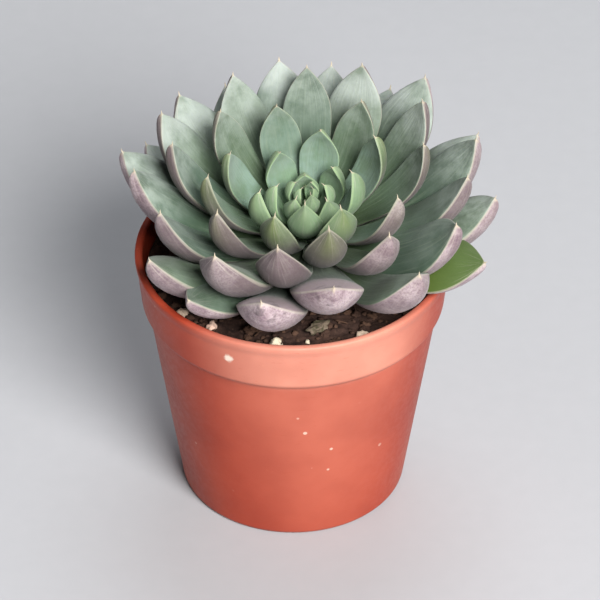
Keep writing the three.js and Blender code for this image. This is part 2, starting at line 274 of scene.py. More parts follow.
# Camera, in metres: the photograph's height over the plant, with a longer lens
CAMERA_DISTANCE = 1.12
CAMERA_ELEVATION = math.radians(38.2)
CAMERA_TARGET = (0.0012, 0.0, 0.0370)
CAMERA_LENS = 385
SENSOR_WIDTH = 36
NEAREST = 0.01

# Stage and lights, in metres and watts
FLOOR_REACH = 6.0
LIGHT_SIZE = 0.6
LIGHT_TARGET = (0, 0, 0.04)
LIGHTS = {
    "key_light": ((0.36, -0.84, 0.78), 28, (1.0, 0.985, 0.96)),
    "top_light": ((0.1, 0.45, 1.0), 5, (0.95, 0.98, 1.0)),
    "side_light": ((-0.9, -0.35, 0.45), 0.3, (0.97, 0.98, 1.0)),
}
WORLD_COLOUR = (0.93, 0.96, 1.0, 1)
WORLD_STRENGTH = 0.11

# Heights and radii that the pieces share
band_foot = POT_HEIGHT - BAND_HEIGHT
ledge = band_foot - STEP_HEIGHT
band_top_radius = LIP_RADIUS - LIP_PROUD
band_foot_radius = band_top_radius - BAND_DRAFT
body_top_radius = band_foot_radius - STEP_DEPTH
soil_top = POT_HEIGHT - SOIL_BELOW_RIM
floor_top = FOOT_HEIGHT + FLOOR


def inside_radius(height):
    if height >= band_foot:
        low, high = (band_foot, band_foot_radius), (POT_HEIGHT, band_top_radius)
    else:
        low, high = (0.0, BASE_RADIUS), (band_foot, body_top_radius)
    along = (height - low[0]) / (high[0] - low[0])
    return low[1] + (high[1] - low[1]) * along - WALL


def draws_from(seed):
    """Repeatable draws between -1 and 1."""
    state = seed

    def draw():
        nonlocal state
        state = (state * 16807) % 2147483647
        return 2 * state / 2147483647 - 1

    return draw


def share_of(draw):
    """A draw between 0 and 1."""
    return (1 + draw()) / 2


def noise_at(x, y, z):
    return noise.noise(Vector((x, y, z)))


def smooth(value, low, high):
    """0 below low, 1 above high and an S between them."""
    t = np.clip((np.asarray(value, float) - low) / (high - low), 0, 1)
    return t * t * (3 - 2 * t)


# Meshes
class Builder:
    """Collects points in millimetres with their faces and named values, and makes one object of them."""

    def __init__(self):
        self.points, self.faces, self.values = [], [], {}
        self.count = 0

    def add(self, points, faces, **values):
        points = np.asarray(points, float)
        self.points.append(points)
        self.faces.extend([tuple(i + self.count for i in face) for face in faces])
        for name, value in values.items():
            filled = np.broadcast_to(np.asarray(value, float), (len(points),))
            self.values.setdefault(name, []).append(filled)
        self.count += len(points)

    def make(self, name, material, slot, *nodes):
        mesh = bpy.data.meshes.new(name)
        points = np.concatenate(self.points) * MM
        mesh.from_pydata(points.tolist(), [], self.faces)
        for key, parts in self.values.items():
            layer = mesh.attributes.new(key, "FLOAT", "POINT")
            layer.data.foreach_set("value", np.concatenate(parts).astype(np.float32))
        mesh.materials.append(material)
        mesh.polygons.foreach_set("use_smooth", [True] * len(mesh.polygons))
        mesh.update()
        piece = bpy.data.objects.new(name, mesh)
        bpy.context.scene.collection.objects.link(piece)
        if nodes:
            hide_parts(*nodes)
        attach(piece, "root")
        return piece


def bands(rings, sides):
    """The four-sided faces between each ring of points and the next."""
    faces = []
    for low in range(0, (rings - 1) * sides, sides):
        high = low + sides
        for i in range(sides):
            j = (i + 1) % sides
            faces.append((low + i, low + j, high + j, high + i))
    return faces


def ring_faces(rings, sides, closed_end=True):
    """Faces of a stack of rings with a flat start. A last point caps the end if closed_end."""
    faces = bands(rings, sides)
    faces.append(tuple(reversed(range(sides))))
    if closed_end:
        last, tip = (rings - 1) * sides, rings * sides
        faces.extend((last + i, last + (i + 1) % sides, tip) for i in range(sides))
    return faces


def rounded(profile, steps=4):
    """A profile of (radius, height, rounding) with each rounded corner as a short curve."""
    result = []
    for k, (x, y, size) in enumerate(profile):
        here = np.array([x, y])
        if size == 0 or k in (0, len(profile) - 1):
            result.append(here)
            continue
        before = np.array(profile[k - 1][:2]) - here
        after = np.array(profile[k + 1][:2]) - here
        start = here + before * min(0.48, size / np.linalg.norm(before))
        end = here + after * min(0.48, size / np.linalg.norm(after))
        for t in np.linspace(0, 1, steps + 1):
            result.append((1 - t) ** 2 * start + 2 * t * (1 - t) * here + t * t * end)
    return result


def lathe(profile, sides):
    """Points and faces of a profile turned about the Z axis. It starts and ends on the axis."""
    turn = np.linspace(0, 2 * math.pi, sides, endpoint=False)
    inner = profile[1:-1]
    points = [(r * math.cos(a), r * math.sin(a), z) for r, z in inner for a in turn]
    points += [(0, 0, profile[0][1]), (0, 0, profile[-1][1])]
    faces = bands(len(inner), sides)
    first, last = len(points) - 2, len(points) - 1
    top = (len(inner) - 1) * sides
    for i in range(sides):
        j = (i + 1) % sides
        faces.append((first, j, i))
        faces.append((last, top + i, top + j))
    return points, faces


# Shader nodes: places are in metres, and the scales of the noises are per metre
def srgb(red, green, blue):
    """An 8-bit colour as the shader's linear colour."""
    def linear(value):
        value /= 255
        return value / 12.92 if value <= 0.04045 else ((value + 0.055) / 1.055) ** 2.4
    return (linear(red), linear(green), linear(blue), 1.0)


class Shader:
    """A material and short calls for its nodes. A plain number or colour is set on the node's socket."""

    def __init__(self, name):
        self.material = bpy.data.materials.new(name)
        self.material.use_nodes = True
        self.tree = self.material.node_tree
        self.principled = self.tree.nodes["Principled BSDF"]

    def put(self, socket, value):
        if isinstance(value, bpy.types.NodeSocket):
            self.tree.links.new(value, socket)
        else:
            socket.default_value = value

    def set(self, name, value):
        self.put(self.principled.inputs[name], value)

    def attribute(self, name):
        node = self.tree.nodes.new("ShaderNodeAttribute")
        node.attribute_name = name
        return node.outputs["Fac"]

    def place(self):
        return self.tree.nodes.new("ShaderNodeTexCoord").outputs["Object"]

    def parts(self, vector):
        node = self.tree.nodes.new("ShaderNodeSeparateXYZ")
        self.put(node.inputs[0], vector)
        return node.outputs

    def joined(self, x, y, z):
        node = self.tree.nodes.new("ShaderNodeCombineXYZ")
        for socket, value in zip(node.inputs, (x, y, z)):
            self.put(socket, value)
        return node.outputs[0]

    def calculate(self, operation, a, b=0.0):
        node = self.tree.nodes.new("ShaderNodeMath")
        node.operation = operation
        self.put(node.inputs[0], a)
        self.put(node.inputs[1], b)
        return node.outputs[0]

    def product(self, first, *others):
        result = first
        for value in others:
            result = self.calculate("MULTIPLY", result, value)
        return result

    def ramp(self, value, low, high, start=0.0, end=1.0):
        """start below low, end above high and an S between them."""
        node = self.tree.nodes.new("ShaderNodeMapRange")
        node.interpolation_type = "SMOOTHSTEP"
        for name, number in (("From Min", low), ("From Max", high), ("To Min", start), ("To Max", end)):
            node.inputs[name].default_value = number
        self.put(node.inputs["Value"], value)
        return node.outputs["Result"]

    def noise(self, vector, scale, detail, roughness):
        node = self.tree.nodes.new("ShaderNodeTexNoise")
        self.put(node.inputs["Vector"], vector)
        node.inputs["Scale"].default_value = scale
        node.inputs["Detail"].default_value = detail
        node.inputs["Roughness"].default_value = roughness
        return node.outputs["Fac"]

    def cells(self, vector, scale):
        node = self.tree.nodes.new("ShaderNodeTexVoronoi")
        self.put(node.inputs["Vector"], vector)
        node.inputs["Scale"].default_value = scale
        return node.outputs["Distance"]

    def distance(self, vector, point):
        node = self.tree.nodes.new("ShaderNodeVectorMath")
        node.operation = "DISTANCE"
        self.put(node.inputs[0], vector)
        node.inputs[1].default_value = point
        return node.outputs["Value"]

    def mix(self, share, a, b):
        node = self.tree.nodes.new("ShaderNodeMix")
        node.data_type = "RGBA"
        self.put(node.inputs["Factor"], share)
        self.put(node.inputs[6], a)
        self.put(node.inputs[7], b)
        return node.outputs[2]

    def bump(self, height, strength, distance, normal=None):
        node = self.tree.nodes.new("ShaderNodeBump")
        node.inputs["Strength"].default_value = strength
        node.inputs["Distance"].default_value = distance
        self.put(node.inputs["Height"], height)
        if normal is not None:
            self.put(node.inputs["Normal"], normal)
        return node.outputs["Normal"]


# Materials
def leaf_inputs(s):
    """The values that a leaf's points carry, and the noises that its colours share."""
    at = SimpleNamespace(**{name: s.attribute(name) for name in LEAF_VALUES})
    at.place = s.place()
    _, at.y, _ = s.parts(at.place)
    at.cloud = s.noise(at.place, 260, 4, 0.62)
    at.patch = s.noise(at.place, 230, 3, 0.6)
    at.freckle = s.noise(at.place, 2600, 2, 0.6)
    lengthwise = s.joined(s.product(at.across, 5.0), s.product(at.along, 1.6), s.product(at.tone, 40.0))
    at.vein = s.noise(lengthwise, 1.5, 4, 0.65)
    return at


def upper_face(s, at):
    """Grey-green, lighter in the middle of the plant, darker and yellower at the roots as partly painted
    shade, with a worn bloom and painted highlights on the tips at the back.
    """
    colour = s.mix(s.ramp(at.tone, 0.2, 0.8), srgb(56, 78, 60), srgb(68, 86, 62))
    colour = s.mix(s.ramp(at.age, 0.0, 0.3, 1.0, 0.0), colour, srgb(108, 136, 104))
    hazy = s.product(
        s.ramp(at.age, 0.03, 0.08, 0.0, 0.65),
        s.ramp(at.age, 0.12, 0.26, 1.0, 0.1),
        s.ramp(at.patch, 0.36, 0.6, 0.3, 1.0),
    )
    colour = s.mix(hazy, colour, srgb(128, 150, 142))
    # Darker, yellower green towards the root: partly the leaf's own colour, partly painted shade where
    # the leaves overlap
    colour = s.mix(s.ramp(at.along, 0.1, 0.62, 0.75, 0.0), colour, srgb(66, 90, 40))
    colour = s.mix(s.ramp(at.vein, 0.5, 0.72, 0.0, 0.35), colour, srgb(118, 132, 112))
    # Worn pale bloom towards the tips of the older leaves, stronger on the leaves at the back as a
    # painted highlight
    bloom_and_back_highlight = s.product(
        s.ramp(at.cloud, 0.3, 0.68, 0.25, 1.0),
        s.ramp(at.along, 0.54, 0.98, 0.06, 1.0),
        s.ramp(at.age, 0.1, 0.4, 0.4, 0.85),
        s.ramp(at.y, -0.02, 0.0, 0.3, 1.0),
    )
    colour = s.mix(bloom_and_back_highlight, colour, srgb(158, 170, 160))
    # Painted highlight: pale patches on the tips of the outer leaves at the back of the plant
    painted_back_highlight = s.product(
        s.ramp(at.along, 0.62, 0.92),
        s.ramp(at.age, 0.3, 0.46),
        s.ramp(s.noise(at.place, 120, 3, 0.5), 0.34, 0.6, 0.1, 0.55),
        s.ramp(at.y, 0.0, 0.014),
    )
    colour = s.mix(painted_back_highlight, colour, srgb(182, 190, 186))
    flushed = s.product(s.ramp(at.along, 0.56, 0.84, 0.0, 0.85), at.flush)
    colour = s.mix(flushed, colour, srgb(146, 126, 132))
    green = s.mix(s.ramp(at.along, 0.45, 0.95), srgb(76, 94, 14), srgb(74, 94, 48))
    return s.mix(at.fresh, colour, green)


def underside(s, at):
    """Lilac where the sun reaches it, greener towards the root and on young leaves, with painted shade on
    the inner leaves and towards the root.
    """
    lilac = s.mix(s.ramp(at.patch, 0.32, 0.68), srgb(140, 118, 126), srgb(196, 178, 182))
    # Painted shade: the undersides of the inner leaves darker, less so on the sunny leaves
    painted_inner_shade = s.product(s.ramp(at.age, 0.4, 0.66, 0.8, 0.0), s.ramp(at.sunny, 0.0, 1.0, 1.0, 0.2))
    lilac = s.mix(painted_inner_shade, lilac, srgb(90, 80, 80))
    lilac = s.mix(s.ramp(at.tone, 0.3, 0.8, 0.0, 0.35), lilac, srgb(106, 98, 94))
    lilac = s.mix(s.ramp(at.freckle, 0.42, 0.64, 0.0, 0.4), lilac, srgb(96, 74, 86))
    green = s.mix(s.ramp(at.patch, 0.3, 0.7), srgb(86, 112, 76), srgb(110, 132, 96))
    green = s.mix(s.ramp(at.age, 0.08, 0.2, 0.6, 0.0), green, srgb(128, 154, 122))
    reddened = s.product(s.ramp(at.along, 0.3, 0.66, 0.15, 1.0), s.ramp(at.age, 0.12, 0.34, 0.08, 1.0))
    in_sun = s.product(at.sunny, s.ramp(at.along, 0.3, 0.66))
    colour = s.mix(s.calculate("MAXIMUM", reddened, in_sun), green, lilac)
    # Painted shade: the undersides darker towards the root, where the leaves overlap
    painted_root_shade = s.product(s.ramp(at.along, 0.6, 0.98, 0.85, 0.0), s.ramp(at.age, 0.08, 0.16))
    colour = s.mix(painted_root_shade, colour, srgb(90, 80, 82))
    olive = s.product(
        s.ramp(at.along, 0.68, 0.96, 0.0, 0.6),
        s.ramp(at.age, 0.2, 0.42, 1.0, 0.0),
        s.ramp(at.age, 0.08, 0.14, 0.3, 1.0),
        s.ramp(at.sunny, 0.0, 1.0, 1.0, 0.0),
        s.ramp(s.calculate("ABSOLUTE", at.across), 0.2, 0.85, 1.0, 0.25),
    )
    colour = s.mix(olive, colour, srgb(100, 112, 58))
    return s.mix(s.ramp(at.vein, 0.52, 0.74, 0.0, 0.25), colour, srgb(178, 164, 164))


def with_leaf_marks(s, at, colour):
    """Smudges on flushed tips, fine streaks to the point, the margin's paler skin and the point."""
    smudge = s.product(
        s.ramp(s.noise(at.place, 480, 2, 0.5), 0.52, 0.66, 0.0, 0.6),
        at.flush,
        s.ramp(at.along, 0.78, 0.94),
    )
    colour = s.mix(smudge, colour, srgb(88, 74, 80))
    lengthwise = s.joined(s.product(at.across, 9.0), s.product(at.along, 1.4), at.tone)
    streak = s.noise(lengthwise, 1.6, 4, 0.7)
    streaks = s.product(s.ramp(streak, 0.52, 0.7, 0.0, 0.5), s.ramp(at.along, 0.82, 0.98))
    colour = s.mix(streaks, colour, srgb(186, 178, 168))
    edge = s.mix(s.ramp(at.age, 0.05, 0.3), srgb(156, 182, 132), srgb(178, 172, 158))
    margin = s.product(s.ramp(at.rim, 0.02, 0.14, 0.45, 0.0), s.ramp(at.along, 0.35, 0.8, 0.1, 1.0))
    colour = s.mix(margin, colour, edge)
    return s.mix(s.ramp(at.along, 0.985, 1.01), colour, srgb(206, 192, 168))


def leaf_material():
    s = Shader("succulent_leaf")
    at = leaf_inputs(s)
    colour = s.mix(s.ramp(at.under, 0.35, 0.65), upper_face(s, at), underside(s, at))
    s.set("Base Color", with_leaf_marks(s, at, colour))
    worn = s.ramp(at.cloud, 0.3, 0.7, 0.5, 0.68)
    s.set("Roughness", s.calculate("ADD", worn, s.product(at.freckle, 0.06)))
    s.set("Specular IOR Level", 0.3)
    s.set("Subsurface Weight", 0.1)
    s.set("Subsurface Radius", (0.9, 1.0, 0.5))
    s.set("Subsurface Scale", 0.001)
    s.set("Sheen Weight", 0.08)
    s.set("Sheen Roughness", 0.5)
    skin = s.bump(at.freckle, 0.22, 0.00008)
    s.set("Normal", s.bump(at.vein, 0.3, 0.0006, skin))
    return s.material


def pot_material():
    s = Shader("moulded_plastic")
    place = s.place()
    x, y, z = s.parts(place)
    cloud = s.noise(place, 60, 3, 0.6)
    grime = s.noise(place, 900, 4, 0.7)
    colour = s.mix(s.ramp(cloud, 0.3, 0.7), srgb(158, 58, 38), srgb(174, 69, 46))

    # Paler in front, most of all on the band: a painted highlight. With a little dust and darker scuffs
    forward = s.calculate("SUBTRACT", s.product(x, 0.22), s.product(y, 0.975))
    painted_front_highlight = s.product(
        s.ramp(cloud, 0.25, 0.75, 0.7, 1.0),
        s.ramp(z, 0.0365, 0.0395, 0.36, 1.0),
        s.ramp(forward, 0.014, 0.027, 0.0, 0.6),
    )
    colour = s.mix(painted_front_highlight, colour, srgb(238, 176, 154))
    dust = s.product(s.ramp(grime, 0.6, 0.76, 0.0, 0.25), s.ramp(z, 0.03, 0.047, 0.25, 1.0))
    colour = s.mix(dust, colour, srgb(214, 146, 118))
    scuff = s.noise(s.joined(x, y, s.product(z, 7.0)), 420, 3, 0.6)
    colour = s.mix(s.ramp(scuff, 0.62, 0.76, 0.0, 0.3), colour, srgb(166, 66, 40))

    # One large pale speck and a few small ones
    speck = s.calculate("ADD", s.distance(place, SPECK), s.product(grime, 0.0014))
    colour = s.mix(s.ramp(speck, 0.0011, 0.0018, 0.85, 0.0), colour, srgb(236, 222, 206))
    dots = s.product(s.ramp(s.cells(place, 170), 0.045, 0.075, 1.0, 0.0), s.ramp(cloud, 0.5, 0.6), 0.7)
    colour = s.mix(dots, colour, srgb(228, 204, 186))
    s.set("Base Color", colour)
    s.set("Roughness", s.ramp(grime, 0.3, 0.7, 0.38, 0.5))
    s.set("Specular IOR Level", 0.2)
    s.set("Subsurface Weight", 0.05)
    s.set("Subsurface Radius", (1.0, 0.35, 0.2))
    s.set("Subsurface Scale", 0.001)
    s.set("Normal", s.bump(grime, 0.12, 0.0001))
    return s.material


def soil_material():
    s = Shader("peat_mix")
    place = s.place()
    tone = s.attribute("tone")
    coarse = s.noise(place, 420, 5, 0.7)
    fine = s.noise(place, 2400, 3, 0.7)
    colour = s.mix(s.ramp(coarse, 0.3, 0.7), srgb(40, 27, 23), srgb(72, 52, 44))
    colour = s.mix(s.ramp(fine, 0.58, 0.75, 0.0, 0.6), colour, srgb(104, 82, 68))
    colour = s.mix(s.product(tone, 0.75), colour, srgb(90, 66, 52))
    s.set("Base Color", colour)
    s.set("Roughness", s.ramp(fine, 0.2, 0.8, 0.82, 0.98))
    s.set("Specular IOR Level", 0.25)
    s.set("Normal", s.bump(fine, 0.5, 0.0003))
    return s.material


def grain_material():
    s = Shader("mineral_grain")
    place = s.place()
    tone = s.attribute("tone")
    pores = s.noise(place, 1800, 4, 0.7)
    colour = s.mix(tone, srgb(226, 214, 188), srgb(232, 196, 176))
    colour = s.mix(s.ramp(pores, 0.52, 0.7, 0.0, 0.7), colour, srgb(168, 140, 112))
    s.set("Base Color", colour)
    s.set("Roughness", s.ramp(pores, 0.3, 0.7, 0.75, 0.92))
    s.set("Normal", s.bump(pores, 0.5, 0.0002))
    return s.material


def dry_leaf_material():
    s = Shader("dry_leaf")
    crease = s.noise(s.place(), 900, 4, 0.7)
    s.set("Base Color", s.mix(s.ramp(crease, 0.35, 0.65), srgb(70, 66, 44), srgb(124, 108, 94)))
    s.set("Roughness", 0.8)
    s.set("Normal", s.bump(crease, 0.6, 0.0004))
    return s.material


def stem_material():
    s = Shader("young_bark")
    place = s.place()
    x, y, z = s.parts(place)
    scale = s.noise(s.joined(x, y, s.product(z, 2.5)), 700, 4, 0.7)
    colour = s.mix(s.ramp(scale, 0.3, 0.7), srgb(84, 64, 48), srgb(140, 116, 88))
    s.set("Base Color", colour)
    s.set("Roughness", s.ramp(scale, 0.3, 0.7, 0.7, 0.9))
    s.set("Normal", s.bump(scale, 0.5, 0.0004))
    return s.material


# Pot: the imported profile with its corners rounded
def make_pot(material):
    lip_foot = POT_HEIGHT - LIP_HEIGHT
    foot_inner = BASE_RADIUS - FOOT_WIDTH
    profile = [
        (0, 0, 0),
        (PAD_RADIUS, 0, FOOT_ROUND),
        (PAD_RADIUS + FOOT_HEIGHT / 2, FOOT_HEIGHT, FOOT_ROUND),
        (foot_inner - FOOT_HEIGHT / 2, FOOT_HEIGHT, FOOT_ROUND),
        (foot_inner, 0, FOOT_ROUND),
        (BASE_RADIUS, 0, BASE_ROUND),
        (body_top_radius, ledge, STEP_ROUND),
        (band_foot_radius, band_foot, STEP_ROUND),
        (band_top_radius, lip_foot - LIP_SLOPE, LIP_FOOT_ROUND),
        (LIP_RADIUS, lip_foot + LIP_SLOPE, LIP_FOOT_ROUND),
        (LIP_RADIUS, POT_HEIGHT, LIP_ROUND),
        (inside_radius(POT_HEIGHT), POT_HEIGHT, LIP_ROUND),
        (inside_radius(band_foot), band_foot, INNER_ROUND),
        (inside_radius(ledge), ledge, INNER_ROUND),
        (inside_radius(floor_top), floor_top, FLOOR_ROUND),
        (0, floor_top, 0),
    ]
    points, faces = lathe(rounded(profile), POT_SIDES)
    pot = Builder()
    pot.add(points, faces)
    piece = pot.make("nursery_pot", material, "pot", "pot")
    cut_with(piece, drains())


def drains():
    """Upright pins where the drain holes go through the floor."""
    pins = Builder()
    turn = np.linspace(0, 2 * math.pi, DRAIN_SIDES, endpoint=False)
    heights = (-DRAIN_OVERCUT, 2 * floor_top)
    faces = ring_faces(2, DRAIN_SIDES, closed_end=False) + [tuple(range(DRAIN_SIDES, 2 * DRAIN_SIDES))]
    for i in range(DRAIN_COUNT):
        azimuth = 2 * math.pi * i / DRAIN_COUNT
        centre = DRAIN_CIRCLE * np.array([math.cos(azimuth), math.sin(azimuth)])
        ring = centre + DRAIN_RADIUS * np.stack([np.cos(turn), np.sin(turn)], 1)
        rows = [np.column_stack([ring, np.full(DRAIN_SIDES, height)]) for height in heights]
        pins.add(np.concatenate(rows), faces)
    return pins


def cut_with(piece, cutter):
    """Cuts a builder's shapes out of a piece, and keeps the piece's material."""
    mesh = bpy.data.meshes.new("cutter")
    mesh.from_pydata((np.concatenate(cutter.points) * MM).tolist(), [], cutter.faces)
    tool = bpy.data.objects.new("cutter", mesh)
    bpy.context.scene.collection.objects.link(tool)
    modifier = piece.modifiers.new("drains", "BOOLEAN")
    modifier.operation = "DIFFERENCE"
    modifier.solver = "EXACT"
    modifier.object = tool
    bpy.context.view_layer.update()
    shape = piece.evaluated_get(bpy.context.evaluated_depsgraph_get())
    cut = bpy.data.meshes.new_from_object(shape)
    piece.modifiers.clear()
    piece.data = cut
    cut.polygons.foreach_set("use_smooth", [True] * len(cut.polygons))
    cut.set_sharp_from_angle(angle=SHARP_ANGLE)
    bpy.data.objects.remove(tool)
    bpy.data.meshes.remove(mesh)


# Soil
def crumbs(x, y):
    coarse = math.sin(0.9 * x + 1.3) * math.cos(1.1 * y - 0.4)
    fine = math.sin(2.3 * x - 1.7 * y) * math.cos(1.9 * x + 2.6 * y)
    return CRUMB_RELIEF * (COARSE_SHARE * coarse + (1 - COARSE_SHARE) * fine)


def soil_height(x, y):
    """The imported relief, broken into finer crumbs."""
    lumps = noise_at(0.55 * x, 0.55 * y, 3.0)
    grit = noise.fractal(Vector((1.5 * x, 1.5 * y, 8.0)), 0.9, 2.1, 4)
    return soil_top + RELIEF_KEPT * crumbs(x, y) + LUMP_RELIEF * lumps + GRIT_RELIEF * grit


def make_soil(material):
    top_radius = inside_radius(soil_top) - GAP
    turn = np.linspace(0, 2 * math.pi, SOIL_SIDES, endpoint=False)
    rings = []
    for i in range(1, SOIL_RINGS + 1):
        radius = top_radius * i / SOIL_RINGS
        relief = max(EDGE_RELIEF, min(1.0, (top_radius - radius) / EDGE_FADE))
        ring = [(radius * math.cos(a), radius * math.sin(a)) for a in turn]
        rings.append([(x, y, soil_top + (soil_height(x, y) - soil_top) * relief) for x, y in ring])
    for height in (band_foot, ledge, floor_top + GAP):
        radius = inside_radius(height) - GAP
        rings.append([(radius * math.cos(a), radius * math.sin(a), height) for a in turn])
    points = [point for ring in rings for point in ring]
    centre, base = len(points), len(points) + 1
    points += [(0, 0, soil_height(0, 0)), (0, 0, floor_top + GAP)]
    faces = [(a, d, c, b) for a, b, c, d in bands(len(rings), SOIL_SIDES)]
    last = (len(rings) - 1) * SOIL_SIDES
    for i in range(SOIL_SIDES):
        j = (i + 1) % SOIL_SIDES
        faces.append((centre, i, j))
        faces.append((base, last + j, last + i))
    soil = Builder()
    soil.add(points, faces, tone=0.0)
    soil.make("soil_bed", material, "soil", "soil")


def ball(level):
    """Points and faces of an icosahedron, split level times and pushed out to a ball of radius 1."""
    t = (1 + math.sqrt(5)) / 2
    points = [(-1, t, 0), (1, t, 0), (-1, -t, 0), (1, -t, 0), (0, -1, t), (0, 1, t)]
    points += [(0, -1, -t), (0, 1, -t), (t, 0, -1), (t, 0, 1), (-t, 0, -1), (-t, 0, 1)]
    points = [Vector(p).normalized() for p in points]
    faces = [(0, 11, 5), (0, 5, 1), (0, 1, 7), (0, 7, 10), (0, 10, 11), (1, 5, 9), (5, 11, 4)]
    faces += [(11, 10, 2), (10, 7, 6), (7, 1, 8), (3, 9, 4), (3, 4, 2), (3, 2, 6), (3, 6, 8)]
    faces += [(3, 8, 9), (4, 9, 5), (2, 4, 11), (6, 2, 10), (8, 6, 7), (9, 8, 1)]
    for _ in range(level):
        middles, split = {}, []
        for face in faces:
            mids = []
            for a, b in zip(face, face[1:] + face[:1]):
                key = (min(a, b), max(a, b))
                if key not in middles:
                    middles[key] = len(points)
                    points.append(((points[a] + points[b]) / 2).normalized())
                mids.append(middles[key])
            a, b, c = face
            split += [(a, mids[0], mids[2]), (b, mids[1], mids[0]), (c, mids[2], mids[1]), tuple(mids)]
        faces = split
    return [tuple(p) for p in points], faces


def lump(builder, shape, centre, sizes, turn, rough, seed, tone):
    """One irregular crumb or grain: a ball roughened by noise, stretched, turned and put in place."""
    points, faces = shape
    result = []
    for p in points:
        swell = 1 + rough * noise.noise(Vector(p) * 1.7 + Vector((seed, 2 * seed, 0)))
        x, y, z = (p[k] * sizes[k] * swell for k in range(3))
        x, y = x * math.cos(turn) - y * math.sin(turn), x * math.sin(turn) + y * math.cos(turn)
        result.append((centre[0] + x, centre[1] + y, centre[2] + z))
    builder.add(result, faces, tone=tone)


def make_crumbs(material):
    """Loose crumbs and short fibres of peat on the soil."""
    draw = draws_from(CRUMB_SEED)
    small, large = ball(1), ball(2)
    loose = Builder()
    reach = inside_radius(soil_top) - GAP - CRUMB_INSET
    for i in range(CRUMB_COUNT):
        radius = reach * math.sqrt(share_of(draw))
        azimuth = math.pi * draw()
        x, y = radius * math.cos(azimuth), radius * math.sin(azimuth)
        size = CRUMB_LEAST + CRUMB_RANGE * share_of(draw) ** 2.5
        if radius + size > reach + CRUMB_OVERHANG:
            continue
        sizes = (size * (1 + 0.35 * draw()), size, size * (0.75 + 0.2 * draw()))
        centre = (x, y, soil_height(x, y) + 0.25 * size)
        shape = large if size > FINE_CRUMB_FROM else small
        turn = math.pi * draw()
        lump(loose, shape, centre, sizes, turn, CRUMB_ROUGHNESS, seed=0.37 * i, tone=share_of(draw))
    for i in range(FIBRE_COUNT):
        radius = (reach - FIBRE_INSET) * math.sqrt(share_of(draw))
        azimuth = math.pi * draw()
        x, y = radius * math.cos(azimuth), radius * math.sin(azimuth)
        sizes = (FIBRE_LENGTH + 0.6 * draw(), FIBRE_WIDTH, FIBRE_THICKNESS)
        centre = (x, y, soil_height(x, y) + 2 * FIBRE_THICKNESS)
        lump(loose, small, centre, sizes, math.pi * draw(), FIBRE_ROUGHNESS, seed=0.61 * i, tone=1.0)
    loose.make("soil_crumbs", material, "soil")


def make_grains(material):
    """Pale mineral grains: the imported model's own, and smaller ones among them."""
    grains = Builder()
    small, large = ball(1), ball(2)
    draw = draws_from(GRAIN_SEED)
    for i in range(GRAIN_COUNT):
        azimuth = i * 2 * math.pi / GRAIN_COUNT + 0.2 * draw()
        radius = inside_radius(soil_top) - GRAIN_INSET - GRAIN_BAND * share_of(draw)
        size = GRAIN_RADIUS * (1 + 0.25 * draw())
        turn = math.pi * draw()
        sizes = (1.15 * size, 0.95 * size, 0.8 * size)
        centre = (radius * math.cos(azimuth), radius * math.sin(azimuth), soil_top + GRAIN_RISE)
        lump(grains, large, centre, sizes, turn, GRAIN_ROUGHNESS, seed=1.3 * i, tone=i % 3 / 2)
    draw = draws_from(SMALL_GRAIN_SEED)
    reach = inside_radius(soil_top) - GAP - SMALL_GRAIN_INSET
    for i in range(SMALL_GRAIN_COUNT):
        azimuth = math.pi * draw()
        radius = reach * math.sqrt(share_of(draw))
        x, y = radius * math.cos(azimuth), radius * math.sin(azimuth)
        size = SMALL_GRAIN_RADIUS + 0.2 * draw()
        sizes = (size * 1.2, size, size * 0.8)
        centre = (x, y, soil_height(x, y) + 0.5 * size)
        turn = 3 * draw()
        lump(grains, small, centre, sizes, turn, GRAIN_ROUGHNESS, seed=0.9 * i, tone=share_of(draw))
    grains.make("mineral_grains", material, "soil")


def make_dry_leaf(material):
    """A withered leaf that has dropped on the soil at the front."""
    leaf = Builder()
    x, y = DRY_LEAF_PLACE
    centre = (x, y, soil_height(x, y) + DRY_LEAF_RISE)
    lump(leaf, ball(3), centre, DRY_LEAF_SIZE, DRY_LEAF_TURN, DRY_LEAF_ROUGHNESS, seed=4.0, tone=0.0)
    leaf.make("dry_leaf", material, "soil")


def make_stem(material):
    """The neck and root stock, with the rings that fallen leaves left."""
    profile = [
        (STOCK_RADIUS / 3, -STOCK_DEPTH),
        (STOCK_RADIUS, -STOCK_DEPTH / 3),
        (STEM_RADIUS, -NECK_LENGTH),
        (STEM_RADIUS, 0.0),
    ]
    heights = np.linspace(-STOCK_DEPTH, 0, STEM_RINGS)
    radii = np.interp(heights, [z for _, z in profile], [r for r, _ in profile])
    turn = np.linspace(0, 2 * math.pi, STEM_SIDES, endpoint=False)
    points = []
    for radius, height in zip(radii, heights):
        for a in turn:
            scar = SCAR_DEPTH * noise_at(1.5 * math.cos(a), 1.5 * math.sin(a), 1.4 * height)
            r = radius - SCAR_DEPTH + scar
            points.append((r * math.cos(a), r * math.sin(a), height))
    points.append((0, 0, 0))
    top = POT_HEIGHT - STEM_TOP_BELOW_RIM
    points = leaning(np.array(points)) + np.array([ROSETTE_X, ROSETTE_Y, top])
    stem = Builder()
    stem.add(points, ring_faces(STEM_RINGS, STEM_SIDES))
    stem.make("stem_neck", material, "stem", "stem")


# Rosette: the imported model's leaf rule, with finer leaves
def leaning(points):
    """Leans points towards the front about the X axis."""
    c, s = math.cos(ROSETTE_LEAN), math.sin(ROSETTE_LEAN)
    return points @ np.array([[1, 0, 0], [0, c, s], [0, -s, c]])


def in_pot(points):
    return leaning(points) + np.array([ROSETTE_X, ROSETTE_Y, POT_HEIGHT])


